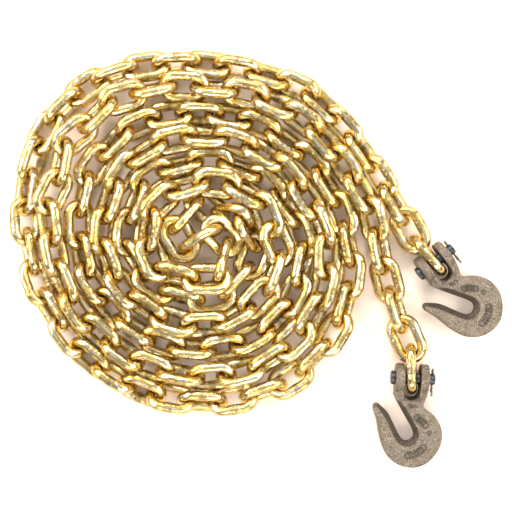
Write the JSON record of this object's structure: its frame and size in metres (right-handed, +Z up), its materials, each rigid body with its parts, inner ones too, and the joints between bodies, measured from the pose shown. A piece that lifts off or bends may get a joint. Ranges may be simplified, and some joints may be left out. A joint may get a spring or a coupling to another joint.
{
  "type": "load binder chain",
  "caption": "Yellow zinc plated load binding chain lying in a flat double spiral, with a clevis grab hook pinned to each free end.",
  "frame": {"origin": "middle of the object's box, on the floor that the chain lies on", "axes": "+Z up, out of the coil; +X towards the side where both free ends leave the coil"},
  "size_m": [0.4864, 0.4144, 0.0531],
  "materials": {
    "yellow_zinc": "glossy yellow chromate over zinc",
    "forged_steel": "bare forged, mottled",
    "pin_steel": "dull dark grey",
    "cotter_steel": "plain wire"
  },
  "bodies": {
    "coil": {"coil_run_01": "yellow_zinc", "coil_run_02": "yellow_zinc", "coil_run_03": "yellow_zinc", "coil_run_04": "yellow_zinc", "coil_run_05": "yellow_zinc", "coil_run_06": "yellow_zinc", "coil_run_07": "yellow_zinc", "coil_run_08": "yellow_zinc", "coil_run_09": "yellow_zinc", "coil_run_10": "yellow_zinc", "coil_run_11": "yellow_zinc", "coil_run_12": "yellow_zinc", "coil_run_13": "yellow_zinc", "coil_run_14": "yellow_zinc", "coil_run_15": "yellow_zinc", "coil_run_16": "yellow_zinc", "coil_run_17": "yellow_zinc", "coil_run_18": "yellow_zinc", "coil_run_19": "yellow_zinc", "coil_run_20": "yellow_zinc", "coil_run_21": "yellow_zinc", "coil_run_22": "yellow_zinc", "coil_run_23": "yellow_zinc", "coil_run_24": "yellow_zinc", "coil_run_25": "yellow_zinc", "coil_run_26": "yellow_zinc", "coil_run_27": "yellow_zinc", "coil_run_28": "yellow_zinc", "coil_run_29": "yellow_zinc", "coil_run_30": "yellow_zinc", "coil_run_31": "yellow_zinc", "coil_run_32": "yellow_zinc", "coil_run_33": "yellow_zinc", "coil_run_34": "yellow_zinc"},
    "link_a_07": {"link_a_07": "yellow_zinc"},
    "link_a_06": {"link_a_06": "yellow_zinc"},
    "link_a_05": {"link_a_05": "yellow_zinc"},
    "link_a_04": {"link_a_04": "yellow_zinc"},
    "link_a_03": {"link_a_03": "yellow_zinc"},
    "link_a_02": {"link_a_02": "yellow_zinc"},
    "link_a_01": {"link_a_01": "yellow_zinc"},
    "hook_a": {"hook_a": "forged_steel"},
    "pin_a": {"clevis_pin_a": "pin_steel", "cotter_pin_a": "cotter_steel"},
    "link_b_07": {"link_b_07": "yellow_zinc"},
    "link_b_06": {"link_b_06": "yellow_zinc"},
    "link_b_05": {"link_b_05": "yellow_zinc"},
    "link_b_04": {"link_b_04": "yellow_zinc"},
    "link_b_03": {"link_b_03": "yellow_zinc"},
    "link_b_02": {"link_b_02": "yellow_zinc"},
    "link_b_01": {"link_b_01": "yellow_zinc"},
    "hook_b": {"hook_b": "forged_steel"},
    "pin_b": {"clevis_pin_b": "pin_steel", "cotter_pin_b": "cotter_steel"}
  },
  "joints": [
    {"name": "swing_a_07", "type": "hinge", "parent": "coil", "child": "link_a_07", "pos_m": [0.04902, 0.16642, 0.01369], "axis": [-0.4798, -0.4768, 0.7365], "range_deg": [0, 22]},
    {"name": "swing_a_06", "type": "hinge", "parent": "link_a_07", "child": "link_a_06", "pos_m": [0.07844, 0.13786, 0.01437], "axis": [-0.4798, -0.4768, 0.7365], "range_deg": [0, 22]},
    {"name": "swing_a_05", "type": "hinge", "parent": "link_a_06", "child": "link_a_05", "pos_m": [0.09174, 0.12291, 0.01497], "axis": [-0.4548, -0.3274, 0.8282], "range_deg": [0, 22]},
    {"name": "swing_a_04", "type": "hinge", "parent": "link_a_05", "child": "link_a_04", "pos_m": [0.11525, 0.08933, 0.01461], "axis": [-0.4548, -0.3274, 0.8282], "range_deg": [0, 22]},
    {"name": "swing_a_03", "type": "hinge", "parent": "link_a_04", "child": "link_a_03", "pos_m": [0.126, 0.07242, 0.01448], "axis": [-0.4768, -0.2049, 0.8548], "range_deg": [0, 13]},
    {"name": "swing_a_02", "type": "hinge", "parent": "link_a_03", "child": "link_a_02", "pos_m": [0.14621, 0.03686, 0.01723], "axis": [-0.4768, -0.2049, 0.8548], "range_deg": [-4, 25]},
    {"name": "swing_a_01", "type": "hinge", "parent": "link_a_02", "child": "link_a_01", "pos_m": [0.1555, 0.01913, 0.01718], "axis": [-0.105, -0.0914, 0.9903], "range_deg": [-8, 28]},
    {"name": "hook_a_pivot", "type": "hinge", "parent": "link_a_01", "child": "hook_a", "pos_m": [0.17526, -0.00357, 0.01718], "axis": [-0.788, -0.6157, 0], "range_deg": [-45, 90]},
    {"name": "pin_a_spin", "type": "hinge", "parent": "hook_a", "child": "pin_a", "pos_m": [0.17526, -0.00357, 0.01718], "axis": [0.788, 0.6157, 0], "continuous": true},
    {"name": "swing_b_07", "type": "hinge", "parent": "coil", "child": "link_b_07", "pos_m": [0.09671, 0.07448, 0.0241], "axis": [-0.5108, -0.3661, -0.7779], "range_deg": [-3, 3]},
    {"name": "swing_b_06", "type": "hinge", "parent": "link_b_07", "child": "link_b_06", "pos_m": [0.11246, 0.04788, 0.02363], "axis": [-0.5585, -0.3442, 0.7547], "range_deg": [-5, 10]},
    {"name": "swing_b_05", "type": "hinge", "parent": "link_b_06", "child": "link_b_05", "pos_m": [0.11881, 0.01792, 0.02252], "axis": [-0.6864, -0.1191, -0.7174], "range_deg": [-8, 14]},
    {"name": "swing_b_04", "type": "hinge", "parent": "link_b_05", "child": "link_b_04", "pos_m": [0.12495, -0.01188, 0.02044], "axis": [-0.5356, -0.1682, 0.8276], "range_deg": [-22, 22]},
    {"name": "swing_b_03", "type": "hinge", "parent": "link_b_04", "child": "link_b_03", "pos_m": [0.13357, -0.041, 0.01753], "axis": [-0.7884, -0.1743, -0.5899], "range_deg": [-25, 20]},
    {"name": "swing_b_02", "type": "hinge", "parent": "link_b_03", "child": "link_b_02", "pos_m": [0.14377, -0.06977, 0.01687], "axis": [-0.3685, -0.1518, 0.9171], "range_deg": [-28, 28]},
    {"name": "swing_b_01", "type": "hinge", "parent": "link_b_02", "child": "link_b_01", "pos_m": [0.15591, -0.09773, 0.0178], "axis": [-0.8737, -0.389, -0.2922], "range_deg": [-12, 28]},
    {"name": "hook_b_pivot", "type": "hinge", "parent": "link_b_01", "child": "hook_b", "pos_m": [0.15266, -0.11817, 0.01718], "axis": [-0.9986, 0.0523, 0], "range_deg": [-45, 90]},
    {"name": "pin_b_spin", "type": "hinge", "parent": "hook_b", "child": "pin_b", "pos_m": [0.15266, -0.11817, 0.01718], "axis": [0.9986, -0.0523, 0], "continuous": true}
  ]
}
